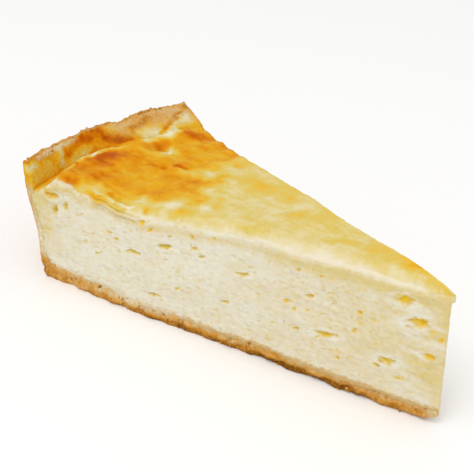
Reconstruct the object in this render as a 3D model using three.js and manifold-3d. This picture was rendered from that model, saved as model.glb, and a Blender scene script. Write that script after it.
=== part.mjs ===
// One slice of a round baked cheesecake. A shortcrust shell (base, side wall and rim, one piece of pastry)
// holds the baked curd filling, whose skin swells and wrinkles near the rim and levels out towards the tip.
// Millimetres, +Z up. The tip points along +X, the rim lies towards -X and one cut face looks along -Y.
// Origin: middle of the bounding box in X and Y, on the plane that the crust stands on.
import * as THREE from "three";
import { mergeVertices } from "three/addons/utils/BufferGeometryUtils.js";
import Module from "manifold-3d";

const wasm = await Module();
wasm.setup();

// ---------------------------------------------------------------------------------------------------------
// Driving dimensions
const CAKE_RADIUS = 130; // the cake fills a 26 cm springform tin
const HALF_ANGLE = THREE.MathUtils.degToRad(13.7); // the slice is about a thirteenth of the round
const RIM_HEIGHT = 37.8;
const BASE_THICKNESS = 3.3;
const CHIPPED_TIP = 11; // length over which the crust's underside has broken away at the tip
const WALL_THICKNESS = 1.7;
const TIP_HALF_WIDTH = 0.3; // a knife never leaves a perfectly sharp tip
const LAYER_GAP = 0.3; // clearance between pastry and filling

// Height of the skin along the two cuts, as [share of the cake's radius, share of the rim's height].
const SKIN_ALONG_FRONT = [
  [0, 1.068], [0.06, 1.035], [0.2, 1.014], [0.34, 1.005], [0.46, 0.99], [0.54, 0.947], [0.62, 0.907],
  [0.69, 0.878], [0.75, 0.884], [0.82, 0.915], [0.88, 0.936], [0.92, 0.875], [0.955, 0.82], [1, 0.8],
];
const SKIN_ALONG_BACK = [
  [0, 1.078], [0.08, 1.068], [0.23, 1.016], [0.385, 0.982], [0.5, 0.949], [0.615, 0.92], [0.73, 0.879],
  [0.81, 0.862], [0.86, 0.864], [0.92, 0.878], [1, 0.885],
];
// Height of the rim's crest from the front cut (-1) to the back cut (+1), as a share of the rim's height.
const CREST = [
  [-1, 1.002], [-0.75, 1.008], [-0.45, 1.003], [-0.22, 1.014], [0, 1.006], [0.22, 0.981], [0.42, 0.995],
  [0.62, 0.993], [0.85, 0.98], [1, 0.978],
];
// How far the rim's lip leans in over the filling, from the front cut (-1) to the back cut (+1), in mm.
const LIP_REACH = [[-1, 1.1], [-0.5, 2.0], [0, 4.2], [0.35, 7.9], [0.6, 10], [1, 10.4]];
// Pastry cross-section from the tip to the rim. Outside and inside point of each station, in mm.
const SHELL_STATIONS = [
  { outside: [0, 2.9], inside: [0, 1.3 * BASE_THICKNESS] },
  { outside: [0.2 * CHIPPED_TIP, 1.6], inside: [0.2 * CHIPPED_TIP, 1.25 * BASE_THICKNESS] },
  { outside: [0.5 * CHIPPED_TIP, 0.6], inside: [0.5 * CHIPPED_TIP, 1.15 * BASE_THICKNESS] },
  { outside: [CHIPPED_TIP, 0], inside: [CHIPPED_TIP, 1.05 * BASE_THICKNESS] },
  { outside: [30, 0], inside: [30, 0.95 * BASE_THICKNESS] },
  { outside: [60, 0], inside: [60, BASE_THICKNESS] },
  { outside: [95, 0], inside: [95, 1.05 * BASE_THICKNESS] },
  { outside: [104, 0], inside: [103, 1.25 * BASE_THICKNESS] },
  { outside: [114, 0], inside: [113, 1.3 * BASE_THICKNESS] },
  { outside: [122, 0], inside: [119.5, 1.4 * BASE_THICKNESS] },
  { outside: [125.3, 0.6], inside: [122.8, 1.75 * BASE_THICKNESS] },
  { outside: [126.5, 4.5], inside: [124.4, 2.3 * BASE_THICKNESS] },
  { outside: [126.6, 9], inside: [126.6 - WALL_THICKNESS, 11.5] },
  { outside: [126.4, 13], inside: [126.4 - WALL_THICKNESS, 14.5] },
  { outside: [127, 18], inside: [127 - WALL_THICKNESS, 18.5] },
  { outside: [128.3, 24], inside: [128.3 - WALL_THICKNESS, 24] },
];

// The filling's skin, in mm. Places are [x, y] from the cake's centre, with the slice along -X.
const SWELLING = { height: 1.5, radius: 116, bend: 4.5, towardsTip: 5.5, towardsRim: 2.2 };
const WRINKLES = { folds: 0.32, creases: 0.35, from: 80, to: 104 };
const DIMPLE = { place: [-111.5, 9], depth: 2.4, width: 2.6 };
const FRONT_CORNER_SINK = 1.6; // the skin dips where it meets the wall at the front corner
const DRAGGED_EDGE = { depth: 1.3, width: 1.9 }; // the knife drew the skin down along the front cut
const SKIN_WAVES = 0.28;

// Unevenness of the pastry and the cuts, in mm
const LIP_CRUMB = 0.3;
const BASE_CRUMB = 0.12;
const WALL_CRUMB = 0.25;
const CREST_CRUMB = 0.22;
const CUT_WAVES = 0.22;
const CRUST_CUT_WAVES = 0.4;
const CRUST_PROUD = 0.7; // the broken crust stands out of the cut along the base
const CRUST_CORNER_BACK = 1.0; // and falls back towards the rim's corner
const TIP_OVERHANG = 0.8; // the skin stands out over the tip
const TIP_SET_BACK = 0.45;

// Bubbles that the knife opened in the front cut: distance from the tip, height, width and height of the hole.
const FRONT_PORES = [
  [119.5, 29.6, 4.8, 1.7], [119.7, 25.0, 1.8, 1.7], [116.2, 26.7, 2.2, 1.4], [91.8, 19.6, 5.9, 1.3],
  [88.2, 30.2, 2.6, 1.7], [84.8, 7.8, 5.2, 0.9], [80.7, 25.0, 4.6, 1.5], [77.0, 12.8, 2.6, 1.0],
  [72.2, 30.7, 2.0, 1.5], [71.5, 27.5, 2.4, 1.1], [68.9, 25.7, 2.1, 1.1], [61.9, 14.1, 3.0, 1.1],
  [55.8, 24.8, 3.4, 1.3], [43.0, 21.6, 2.0, 1.5], [33.0, 25.7, 10.5, 1.2], [31.8, 15.4, 5.6, 2.0],
  [23.9, 19.7, 1.8, 1.7], [22.7, 25.6, 2.3, 1.1], [14.9, 14.0, 3.6, 2.0], [11.8, 33.2, 3.9, 2.2],
  [11.5, 9.9, 2.2, 1.1], [7.4, 28.4, 4.2, 2.2], [40.4, 14.0, 2.6, 1.0], [104.5, 15.2, 2.4, 1.0],
];
const BACK_PORES = 20;

// ---------------------------------------------------------------------------------------------------------
// Small mathematical helpers
const clamp = THREE.MathUtils.clamp;
const lerp = THREE.MathUtils.lerp;
const smoothstep = THREE.MathUtils.smoothstep;
const bell = (x, width) => Math.exp(-((x / width) ** 2));

// A smooth curve through [x, y] knots (cubic Hermite), level beyond its ends.
function curveThrough(knots) {
  const slope = knots.map((_, i) => {
    const before = knots[Math.max(i - 1, 0)];
    const after = knots[Math.min(i + 1, knots.length - 1)];
    return (after[1] - before[1]) / (after[0] - before[0]);
  });
  return (x) => {
    const at = clamp(x, knots[0][0], knots[knots.length - 1][0]);
    const i = clamp(knots.findIndex((k) => k[0] > at) - 1, -1, knots.length - 2);
    const k = i < 0 ? knots.length - 2 : i;
    const span = knots[k + 1][0] - knots[k][0];
    const s = (at - knots[k][0]) / span;
    return (
      (2 * s ** 3 - 3 * s ** 2 + 1) * knots[k][1] +
      (s ** 3 - 2 * s ** 2 + s) * span * slope[k] +
      (-2 * s ** 3 + 3 * s ** 2) * knots[k + 1][1] +
      (s ** 3 - s ** 2) * span * slope[k + 1]
    );
  };
}

// Uneven waves between about -1 and 1, the same on every run: six sines in spread directions.
function ripples(x, y, wavelength, seed) {
  let sum = 0;
  for (let k = 0; k < 6; k++) {
    const direction = 2.4 * k + 1.7 * seed;
    const pitch = (2 * Math.PI * (0.75 + 0.13 * k)) / wavelength;
    sum += Math.sin((x * Math.cos(direction) + y * Math.sin(direction)) * pitch + 1.9 * k + 3.1 * seed);
  }
  return sum / 3;
}

// A seeded random source (mulberry32), so that every run makes the same slice.
function randomSource(seed) {
  let state = seed >>> 0;
  return () => {
    state = (state + 0x6d2b79f5) >>> 0;
    let t = Math.imul(state ^ (state >>> 15), state | 1);
    t = (t + Math.imul(t ^ (t >>> 7), t | 61)) ^ t;
    return ((t ^ (t >>> 14)) >>> 0) / 4294967296;
  };
}

// A unit box whose points are moved by place(u, v, w), each from 0 to 1, as a solid.
function shapedBlock(segments, place) {
  const box = new THREE.BoxGeometry(1, 1, 1, ...segments);
  box.deleteAttribute("normal");
  box.deleteAttribute("uv");
  const merged = mergeVertices(box, 1e-5);
  const position = merged.attributes.position;
  for (let i = 0; i < position.count; i++) {
    const placed = place(position.getX(i) + 0.5, position.getY(i) + 0.5, position.getZ(i) + 0.5);
    position.setXYZ(i, ...placed);
  }
  return solidOf(merged);
}

function solidOf(geometry) {
  return new wasm.Manifold(
    new wasm.Mesh({
      numProp: 3,
      vertProperties: geometry.attributes.position.array,
      triVerts: new Uint32Array(geometry.index.array),
    }),
  );
}

function geometryOf(solid) {
  const mesh = solid.getMesh();
  const geometry = new THREE.BufferGeometry();
  geometry.setAttribute("position", new THREE.BufferAttribute(mesh.vertProperties, 3));
  geometry.setIndex(new THREE.BufferAttribute(mesh.triVerts, 1));
  const faceted = geometry.toNonIndexed();
  faceted.computeVertexNormals();
  return faceted;
}

// ---------------------------------------------------------------------------------------------------------
// The slice's plan. Points are [x, y] with the cake's centre at 0, 0 and the slice along -X.
const RIM_HALF_WIDTH = CAKE_RADIUS * Math.sin(HALF_ANGLE);
const halfWidthAt = (x) => lerp(TIP_HALF_WIDTH, RIM_HALF_WIDTH, -x / (CAKE_RADIUS * Math.cos(HALF_ANGLE)));
const acrossAt = (x, y) => clamp(y / Math.max(halfWidthAt(x), TIP_HALF_WIDTH), -1, 1); // -1 front, +1 back

// Height of the filling's skin.
const frontSkin = curveThrough(SKIN_ALONG_FRONT);
const backSkin = curveThrough(SKIN_ALONG_BACK);

// A swollen ring of skin that bends with the rim and fades before the back cut.
function swollenRing(radius, across) {
  const bend = smoothstep(across, -1, -0.65) - smoothstep(across, -0.2, 0.1);
  const fromRing = radius - SWELLING.radius - SWELLING.bend * bend;
  const width = fromRing > 0 ? SWELLING.towardsRim : SWELLING.towardsTip;
  const fade = smoothstep(across, -1.1, -0.7) * (1 - smoothstep(across, 0.05, 0.45));
  return SWELLING.height * bell(fromRing, width) * fade;
}

function skinWrinkles(x, y, radius) {
  const nearRim = smoothstep(radius, WRINKLES.from, WRINKLES.to) * (1 - smoothstep(radius, 119, 126));
  const folds = Math.sin(0.85 * radius + 2.2 * ripples(x, y, 38, 2));
  return nearRim * (WRINKLES.folds * folds + WRINKLES.creases * ripples(x, y, 13, 5));
}

function skinHeight(x, y) {
  const radius = Math.hypot(x, y);
  const across = acrossAt(x, y);
  const share = radius / CAKE_RADIUS;
  const level = RIM_HEIGHT * lerp(frontSkin(share), backSkin(share), (across + 1) / 2);
  const raised = swollenRing(radius, across) + skinWrinkles(x, y, radius) + SKIN_WAVES * ripples(x, y, 27, 1);
  const fromDimple = Math.hypot(x - DIMPLE.place[0], y - DIMPLE.place[1]);
  const dimple = DIMPLE.depth * bell(fromDimple, DIMPLE.width);
  const corner = FRONT_CORNER_SINK * smoothstep(radius, 119, 126) * (1 - smoothstep(across, -0.85, -0.4));
  const fromFrontCut = (y + halfWidthAt(x)) * Math.cos(HALF_ANGLE);
  const clearOfSwelling = 1 - smoothstep(radius, 110, 116);
  const dragged = DRAGGED_EDGE.depth * bell(fromFrontCut, DRAGGED_EDGE.width) * clearOfSwelling;
  return level + raised - dimple - corner - dragged;
}

// ---------------------------------------------------------------------------------------------------------
// Pastry shell: a slab bent from the tip along the base, round the corner and up the wall to the rim.
const lipReach = curveThrough(LIP_REACH);
const crestShare = curveThrough(CREST);
const rimCrest = (across) => RIM_HEIGHT * crestShare(across) + CREST_CRUMB * ripples(9 * across, 0, 5, 3);

// Outside and inside of the wall's last stations, which change along the rim.
function rimStations(across) {
  const reach = lipReach(across);
  const crest = rimCrest(across);
  const wallInside = 129.2 - WALL_THICKNESS;
  const angle = across * HALF_ANGLE;
  const footRadius = wallInside - reach;
  const feathered = lerp(-0.4, 0.45, smoothstep(across, -0.1, 0.5)); // the lip thins out over the skin
  const foot = skinHeight(-footRadius * Math.cos(angle), footRadius * Math.sin(angle)) + feathered;
  return [
    { outside: [129.2, 29], inside: [wallInside - 0.35 * reach, Math.min(28.4, foot - 2)] },
    { outside: [129.6, 33.5], inside: [wallInside - reach, foot] },
    { outside: [129.7, crest - 1.3], inside: [wallInside - 0.45 * reach, lerp(foot, crest, 0.56)] },
    { outside: [129.3, crest], inside: [wallInside + 0.5, crest - 0.15] },
  ];
}

// The value between the middle two of four evenly spaced ones (Catmull-Rom spline).
function between(a, b, c, d, t) {
  return 0.5 * (2 * b + (c - a) * t + (2 * a - 5 * b + 4 * c - d) * t * t + (3 * b - a - 3 * c + d) * t ** 3);
}

// The shell's outside and inside point at a share of the way from tip to rim. Stations count alike.
function shellSection(share, across) {
  const stations = [...SHELL_STATIONS, ...rimStations(across)];
  const last = stations.length - 1;
  const at = clamp(share, 0, 1) * last;
  const i = Math.min(Math.floor(at), last - 1);
  const isEnd = i === 0 || i === last - 1;
  const pick = (side, axis) => {
    const [a, b, c, d] = [i - 1, i, i + 1, i + 2].map((k) => stations[clamp(k, 0, last)][side][axis]);
    return isEnd ? lerp(b, c, at - i) : between(a, b, c, d, at - i);
  };
  const underside = Math.max(pick("outside", 1), 0); // the crust stands flat
  return { outside: [pick("outside", 0), underside], inside: [pick("inside", 0), pick("inside", 1)] };
}

// Pastry sector, wider than the slice. With a clearance it is the room that the pastry takes from the filling:
// its inside face is moved out by that much and its underside is lowered.
function pastrySector(clearance) {
  const lengthSegments = 44;
  const roundSegments = 18;
  return shapedBlock([lengthSegments, roundSegments, 1], (u, v, w) => {
    const share = 1 - u;
    const across = (2 * v - 1) * 1.02;
    const { outside, inside } = shellSection(share, clamp(across, -1, 1));
    const isInside = w > 0.5;
    const crumb = ripples(126 * share, 31 * across, 9, isInside ? 7 : 4);
    let [radius, z] = isInside ? inside : outside;
    if (isInside) {
      const through = [inside[0] - outside[0], inside[1] - outside[1]];
      const out = (1.4 * clearance) / Math.hypot(...through);
      radius += through[0] * out;
      z += through[1] * out + (share > 0.9 ? LIP_CRUMB : BASE_CRUMB) * crumb;
    } else if (z > 3) {
      radius += WALL_CRUMB * crumb;
    } else if (clearance > 0) {
      z = -1;
    }
    const angle = across * HALF_ANGLE;
    const beyondTip = share === 0 ? 6 : 0;
    const beyondCut = 2 * (2 * v - 1);
    return [beyondTip - radius * Math.cos(angle), radius * Math.sin(angle) + beyondCut, z];
  });
}

// Filling block, a little wider than the slice and ending inside the pastry wall. Its columns run along the
// slice and crowd towards the cuts, where the skin bends most: [share of the half width, inset in mm].
function fillingSector() {
  const outerRadius = 128.4;
  const columns = [
    [-1, -1.5], [-1, 0.4], [-1, 1.2], [-1, 2.2], [-1, 3.6], [-0.74, 0], [-0.6, 0], [-0.46, 0], [-0.32, 0],
    [-0.18, 0], [-0.04, 0], [0.1, 0], [0.24, 0], [0.38, 0], [0.52, 0], [0.66, 0], [0.78, 0], [1, -2.6],
    [1, -1], [1, 1.5],
  ];
  return shapedBlock([60, columns.length - 1, 1], (u, v, w) => {
    const [share, inset] = columns[Math.round(v * (columns.length - 1))];
    const along = lerp(-outerRadius, 3, u);
    const halfWidth = Math.max(halfWidthAt(along), 2.5);
    const y = share * halfWidth + inset * Math.min(1, halfWidth / 16);
    const roundRim = (outerRadius - Math.sqrt(outerRadius ** 2 - y ** 2)) * (1 - u);
    const x = along + roundRim;
    return [x, y, w > 0.5 ? skinHeight(x, y) : 1];
  });
}

// ---------------------------------------------------------------------------------------------------------
// The knife: a tall wedge with slightly wavy sides, rough where it breaks the crust.
function knifeWedge() {
  const rows = [-2, 0, 1.1, 2.2, 3.3, 4.6, 11, 19, 28, 36.3, 37.2, 46];
  const lengthSegments = 46;
  return shapedBlock([lengthSegments, 1, rows.length - 1], (u, v, w) => {
    const z = rows[Math.round(w * (rows.length - 1))];
    const x = lerp(-CAKE_RADIUS - 4, 0, u);
    const side = v > 0.5 ? 1 : -1;
    const inCrust = 1 - smoothstep(z, 2.5, 4.5);
    const proud = CRUST_PROUD * smoothstep(-x, 8, 30) - CRUST_CORNER_BACK * smoothstep(-x, 98, 120);
    const waves =
      CUT_WAVES * ripples(x, z, 24, 6 + side) + inCrust * CRUST_CUT_WAVES * ripples(x, 2 * z, 7, 8 + side);
    const y = side * (halfWidthAt(x) + inCrust * proud + waves * smoothstep(-x, 0, 8));
    const tip = TIP_OVERHANG * smoothstep(z, 36.4, 37.1) - TIP_SET_BACK * smoothstep(z, 5, 30);
    return [u > 0.999 ? x + tip : x, y, z];
  });
}

// One opened bubble: a flattened ball sunk into a cut face. side is -1 for the front cut and +1 for the back.
function pore([fromTip, height, width, tall], side) {
  const ball = new THREE.SphereGeometry(0.5, 7, 5);
  const depth = 1.6 * Math.sqrt(tall * Math.min(width, 3));
  ball.deleteAttribute("normal");
  ball.deleteAttribute("uv");
  ball.scale(width * 1.08, depth, tall * 1.1);
  ball.rotateY(0.16 * side);
  ball.rotateZ(-side * HALF_ANGLE);
  const x = -fromTip * Math.cos(HALF_ANGLE);
  ball.translate(x, side * halfWidthAt(x), height);
  return solidOf(mergeVertices(ball, 1e-5));
}

function backPores() {
  const random = randomSource(11);
  return Array.from({ length: BACK_PORES }, (_, i) => {
    const fromTip = 8 + (108 * (i + random())) / BACK_PORES;
    const height = 7 + 23 * random();
    const width = 1.8 + 3.6 * random() ** 2;
    return [fromTip, height, width, 0.9 + 0.8 * random()];
  });
}

// ---------------------------------------------------------------------------------------------------------
// The two solids
const knife = knifeWedge();
const bubbles = wasm.Manifold.union([
  ...FRONT_PORES.map((row) => pore(row, -1)),
  ...backPores().map((row) => pore(row, 1)),
]);
const shell = pastrySector(0).intersect(knife);
const filling = fillingSector().intersect(knife).subtract(pastrySector(LAYER_GAP)).subtract(bubbles);

function pieceOf(name, solid, material) {
  const whole = solid.decompose().sort((a, b) => b.volume() - a.volume())[0];
  const mesh = new THREE.Mesh(geometryOf(whole), material);
  mesh.name = name;
  return mesh;
}

const pastryMaterial = new THREE.MeshStandardMaterial({ color: 0xd99a4e, roughness: 0.85, metalness: 0 });
const fillingMaterial = new THREE.MeshStandardMaterial({ color: 0xefe3c4, roughness: 0.6, metalness: 0 });

const slice = new THREE.Group();
slice.add(pieceOf("pastry_shell", shell, pastryMaterial), pieceOf("filling", filling, fillingMaterial));

// Stand the slice on z = 0 with the origin in the middle of its footprint.
const bounds = new THREE.Box3().setFromObject(slice);
const middle = bounds.getCenter(new THREE.Vector3());
slice.position.set(-middle.x, -middle.y, -bounds.min.z);

export default slice;
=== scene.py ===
"""Looks of one slice of baked cheesecake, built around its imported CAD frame.

Two pieces replace the CAD's two solids at a finer scale: the curd filling with its browned skin, and the
shortcrust shell. A third holds the crumbs that cling to the crust. Lengths are in millimetres in the cake's
own plan, with the centre of the round at 0, 0 and the slice along -X. They become metres in the row frame
only when a mesh is made.
"""

import itertools
import math

import bpy
import numpy as np
from mathutils import Matrix, Vector


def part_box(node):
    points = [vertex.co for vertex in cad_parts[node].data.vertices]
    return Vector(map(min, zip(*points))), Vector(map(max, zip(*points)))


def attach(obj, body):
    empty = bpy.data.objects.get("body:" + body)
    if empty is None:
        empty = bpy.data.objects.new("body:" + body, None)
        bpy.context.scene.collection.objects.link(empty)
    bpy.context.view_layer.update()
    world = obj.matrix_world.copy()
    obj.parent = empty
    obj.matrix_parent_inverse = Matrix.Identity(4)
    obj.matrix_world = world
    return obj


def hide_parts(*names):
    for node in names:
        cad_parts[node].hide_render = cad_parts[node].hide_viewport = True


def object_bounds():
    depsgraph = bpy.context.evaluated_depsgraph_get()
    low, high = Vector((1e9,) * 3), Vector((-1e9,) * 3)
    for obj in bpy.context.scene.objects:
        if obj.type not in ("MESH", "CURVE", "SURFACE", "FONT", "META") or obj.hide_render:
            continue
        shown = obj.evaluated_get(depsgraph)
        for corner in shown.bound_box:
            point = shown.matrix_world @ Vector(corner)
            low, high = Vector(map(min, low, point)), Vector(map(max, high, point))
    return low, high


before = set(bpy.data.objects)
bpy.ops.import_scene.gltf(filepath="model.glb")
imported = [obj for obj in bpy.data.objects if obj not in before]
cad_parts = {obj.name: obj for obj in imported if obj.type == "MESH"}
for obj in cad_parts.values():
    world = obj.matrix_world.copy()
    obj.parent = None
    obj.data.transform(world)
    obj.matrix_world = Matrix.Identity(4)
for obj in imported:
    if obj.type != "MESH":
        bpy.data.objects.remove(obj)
CAD_BOX = [list(corner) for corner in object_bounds()]

# ---- Driving dimensions, as in the part's source (mm)
CAKE_RADIUS = 130.0
HALF_ANGLE = math.radians(13.7)
RIM_HEIGHT = 37.8
BASE_THICKNESS = 3.3
CHIPPED_TIP = 11.0
WALL_THICKNESS = 1.7
WALL_INSIDE = 129.2 - WALL_THICKNESS  # near the crest, before the lip reaches in
TIP_HALF_WIDTH = 0.3
CAKE_CENTRE = Vector((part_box("pastry_shell")[1].x, 0.00005, 0.0))  # in the row frame, metres

# Height of the skin along the two cuts, as (share of the cake's radius, share of the rim's height)
SKIN_ALONG_FRONT = [
    (0, 1.068), (0.06, 1.035), (0.2, 1.014), (0.34, 1.005), (0.46, 0.99), (0.54, 0.947), (0.62, 0.907),
    (0.69, 0.878), (0.75, 0.884), (0.82, 0.915), (0.88, 0.936), (0.92, 0.875), (0.955, 0.82), (1, 0.8),
]
SKIN_ALONG_BACK = [
    (0, 1.078), (0.08, 1.068), (0.23, 1.016), (0.385, 0.982), (0.5, 0.949), (0.615, 0.92), (0.73, 0.879),
    (0.81, 0.862), (0.86, 0.864), (0.92, 0.878), (1, 0.885),
]
# Height of the rim's crest and reach of its lip, from the front cut (-1) to the back cut (+1)
CREST = [
    (-1, 1.002), (-0.75, 1.008), (-0.45, 1.003), (-0.22, 1.014), (0, 1.006), (0.22, 0.981), (0.42, 0.995),
    (0.62, 0.993), (0.85, 0.98), (1, 0.978),
]
LIP_REACH = [(-1, 1.1), (-0.5, 2.0), (0, 4.2), (0.35, 7.9), (0.6, 10), (1, 10.4)]
LIP_FOOT_SHARE = 17 / 19  # share of the profile at which the lip's inner face begins
TUCK = 0.3  # how far the filling runs into the pastry, so that no gap shows
# Pastry cross-section from the tip to the wall: (outside point, inside point), each (radius, height)
SHELL_STATIONS = [
    ((0, 2.9), (0, 1.3 * BASE_THICKNESS)),
    ((0.2 * CHIPPED_TIP, 1.6), (0.2 * CHIPPED_TIP, 1.25 * BASE_THICKNESS)),
    ((0.5 * CHIPPED_TIP, 0.6), (0.5 * CHIPPED_TIP, 1.15 * BASE_THICKNESS)),
    ((CHIPPED_TIP, 0), (CHIPPED_TIP, 1.05 * BASE_THICKNESS)),
    ((30, 0), (30, 0.95 * BASE_THICKNESS)),
    ((60, 0), (60, BASE_THICKNESS)),
    ((95, 0), (95, 1.05 * BASE_THICKNESS)),
    ((104, 0), (103, 1.25 * BASE_THICKNESS)),
    ((114, 0), (113, 1.3 * BASE_THICKNESS)),
    ((122, 0), (119.5, 1.4 * BASE_THICKNESS)),
    ((125.3, 0.6), (122.8, 1.75 * BASE_THICKNESS)),
    ((126.5, 4.5), (124.4, 2.3 * BASE_THICKNESS)),
    ((126.6, 9), (126.6 - WALL_THICKNESS, 11.5)),
    ((126.4, 13), (126.4 - WALL_THICKNESS, 14.5)),
    ((127, 18), (127 - WALL_THICKNESS, 18.5)),
    ((128.3, 24), (128.3 - WALL_THICKNESS, 24)),
]

# The skin's main forms
SWELLING = {"height": 1.5, "radius": 116, "bend": 4.5, "towards_tip": 5.5, "towards_rim": 2.2}
WRINKLES = {"folds": 0.32, "creases": 0.35, "from": 80, "to": 104}
DIMPLE = {"place": (-111.5, 9), "depth": 2.4, "width": 2.6}
FRONT_CORNER_SINK = 1.6
DRAGGED_EDGE = {"depth": 1.3, "width": 1.9}
SKIN_WAVES = 0.28
# Radius at which the skin turns from golden to pale, from the front cut (-1) to the back cut (+1)
GOLD_BORDER = [
    (-1, 105), (-0.9, 98), (-0.82, 92), (-0.74, 87), (-0.66, 83), (-0.56, 79), (-0.4, 77), (-0.2, 77),
    (0, 78), (0.3, 83), (0.6, 90), (0.85, 91), (1, 90),
]

# Fine strokes in the skin: route in plan (x, y), width and height of the relief
SKIN_STROKES = [
    ([(-117.3, -20.7), (-118.3, -15.4), (-118.9, -11.5), (-119.2, -6.6), (-118.4, -3.5), (-116, -1.8)],
     0.7, 0.6),
    ([(-118, -17.2), (-118.7, -13.2)], 1.1, 0.5),
    ([(-119.8, -21), (-121.8, -15.6), (-122.3, -11), (-121.8, -6), (-120.6, -2), (-118.6, 0.4)], 1.2, -0.7),
    ([(-115.6, -15.5), (-116.4, -11), (-116, -7.5)], 1.6, 0.5),
    ([(-106.5, -2), (-104.3, -1.2), (-102.3, -0.6), (-100.7, 0.3)], 0.6, -0.45),
    ([(-99.6, 3.6), (-98, 4.3), (-96.6, 4.9)], 0.7, -0.4),
    ([(-97.5, 2.6), (-94, 3.3), (-91.1, 3.6)], 0.7, 0.3),
    ([(-110.5, -1.5), (-106.5, 0.9), (-103.5, 2.4)], 0.7, 0.25),
    ([(-112.5, 6), (-110, 6.6), (-108.2, 7.6)], 0.7, 0.35),
    ([(-102.2, -24.2), (-98, -22.9), (-93, -21.6)], 0.42, 0.5),
    ([(-103, -23.3), (-98, -22.1), (-91, -20.3)], 0.4, -0.5),
    ([(-101.5, -22.1), (-96, -20.9), (-91, -19.6), (-87.5, -18.7)], 0.42, 0.4),
]
# Soft browner and paler patches on the skin: route in plan, width and how much browner (+) or paler (-). The
# pale line along the swollen ring's crest is partly a painted highlight, and the row near the tip's back edge
# is painted shade.
SKIN_PATCHES = [
    ([(-115.5, -19.3), (-109.5, -20.3), (-107.6, -18.3), (-111.6, -12.6), (-113.7, -14.6)], 3.6, 0.13),
    ([(-116.9, -10.5), (-116.3, -8.3), (-115.2, -6.8)], 2.1, 0.22),
    ([(-114.5, -11), (-113, -6.5), (-111, -2.5)], 3.4, 0.21),
    # Pale line along the swollen ring's crest: paler skin, partly a painted highlight
    ([(-117.2, -21.5), (-118.6, -15.4), (-119.2, -11.5)], 1.3, -0.66),
    ([(-117.3, -18.2)], 0.5, 1.1),
    ([(-119.5, -12.4), (-119.6, -10.4)], 1.0, -0.3),
    # The pale line runs on along the crest: paler skin, partly a painted highlight
    ([(-119.2, -11.5), (-119.6, -6.6), (-118.8, -3.5), (-116.4, -1.8)], 1.1, -0.5),
    ([(-104.6, -15.6), (-98, -14.5), (-93, -12), (-89, -13)], 4.0, 0.1),
    ([(-105.5, -1.6), (-102.3, -0.7), (-100.7, 0.2)], 0.9, 0.22),
    ([(-98.9, 4.1), (-97.1, 4.7)], 1.2, 0.26),
    ([(-96.3, 2.9), (-94, 3.5), (-91.1, 3.7)], 0.9, -0.24),
    ([(-97, -0.7), (-90.5, 1.2), (-82.3, -0.6)], 3.4, 0.09),
    ([(-79, -8.6), (-77, -8.4)], 3.0, 0.12),
    ([(-113.1, 19.2), (-110.9, 19.7), (-109.5, 21.3), (-107.4, 22.6)], 2.0, 0.24),
    ([(-113.3, 9.8)], 1.8, 0.24),
    ([(-110, 9.6), (-108, 8.2)], 1.9, -0.62),
    ([(-112, 2), (-108, 4.6), (-104, 6)], 1.2, -0.12),
    ([(-96, 3.9), (-92, 4.4), (-79.4, 7)], 1.5, -0.1),
    ([(-119.5, -28.6), (-115.6, -27.6)], 1.8, -0.55),
    ([(-112.5, -27), (-110, -26.4), (-108, -24.4)], 1.5, 0.26),
    ([(-107.4, -24), (-105, -23.4), (-102, -22.2)], 2.0, -0.3),
    ([(-85.6, 8.5), (-80.5, 5.5)], 3.0, 0.12),
    ([(-71, 9.5), (-68, 7)], 2.6, 0.1),
    ([(-89, 18.6), (-86, 17)], 2.4, 0.15),
    ([(-80, -2.5), (-75, -5.5), (-73.5, -8.5)], 2.5, -0.2),
    ([(-76.5, -12.5), (-73, -12)], 2.0, 0.1),
    ([(-104, -24.6), (-98, -23.6), (-92, -21.9)], 0.8, 0.18),
    ([(-101.5, -23.2), (-96, -22), (-91, -20.8)], 0.4, -0.3),
    ([(-101, -21.6), (-95, -20.4), (-89.5, -19.2)], 0.7, 0.14),
    ([(-91.2, -15.3)], 2.1, -0.28),
    ([(-83.2, -12.4)], 2.0, -0.28),
    ([(-86, -18.4)], 1.4, 0.28),
    ([(-68.8, -3.3)], 4.2, 0.05),
    ([(-76, 9.5), (-68, 10.5), (-60, 10.5)], 4.2, 0.12),
    ([(-51.5, -12)], 2.8, 0.08),
    ([(-52.5, 1.6), (-50, 4.1)], 2.2, 0.1),
    ([(-36, -1.2), (-33, 0.5), (-29.6, 2)], 1.6, 0.17),
    ([(-26, 3), (-20.4, 2.2), (-13.2, 2), (-8, 1.3)], 1.8, 0.17),
    ([(-51, 5.5), (-44, 6.5)], 3.4, 0.1),
    ([(-85, -18.2), (-84, -17.6)], 1.3, 0.14),
    ([(-92, 13), (-97, 15)], 3.0, -0.13),
    ([(-88.5, 8), (-85.4, 4.5)], 2.0, -0.26),
    ([(-79, 1.4), (-77.6, -0.4)], 1.8, 0.12),
    ([(-77.6, -15), (-73.5, -14.2)], 1.9, 0.2),
    ([(-93.5, -18.6), (-92.5, -16.4)], 1.3, 0.1),
    ([(-106, -20), (-100.5, -21.8)], 1.5, -0.2),
    ([(-110.8, -21.4), (-108, -21.8)], 1.7, -0.16),
    ([(-121.4, -20.2), (-119.2, -20.6)], 1.3, -0.26),
    ([(-35.2, -3)], 2.4, -0.07),
    ([(-16, -1), (-10, -1.8)], 2.2, -0.13),
    # Painted shade along the back cut's edge near the tip
    ([(-12, 2.6), (-7, 1.9)], 0.8, 0.08),
]
# The crack that parts the lip from the skin near the back cut, through (x, y, z)
RIM_CRACK = [(-122.8, 25.5, 36), (-119.9, 21, 35.5), (-118.3, 17.3, 35.2), (-117.8, 14.2, 34)]
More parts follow.
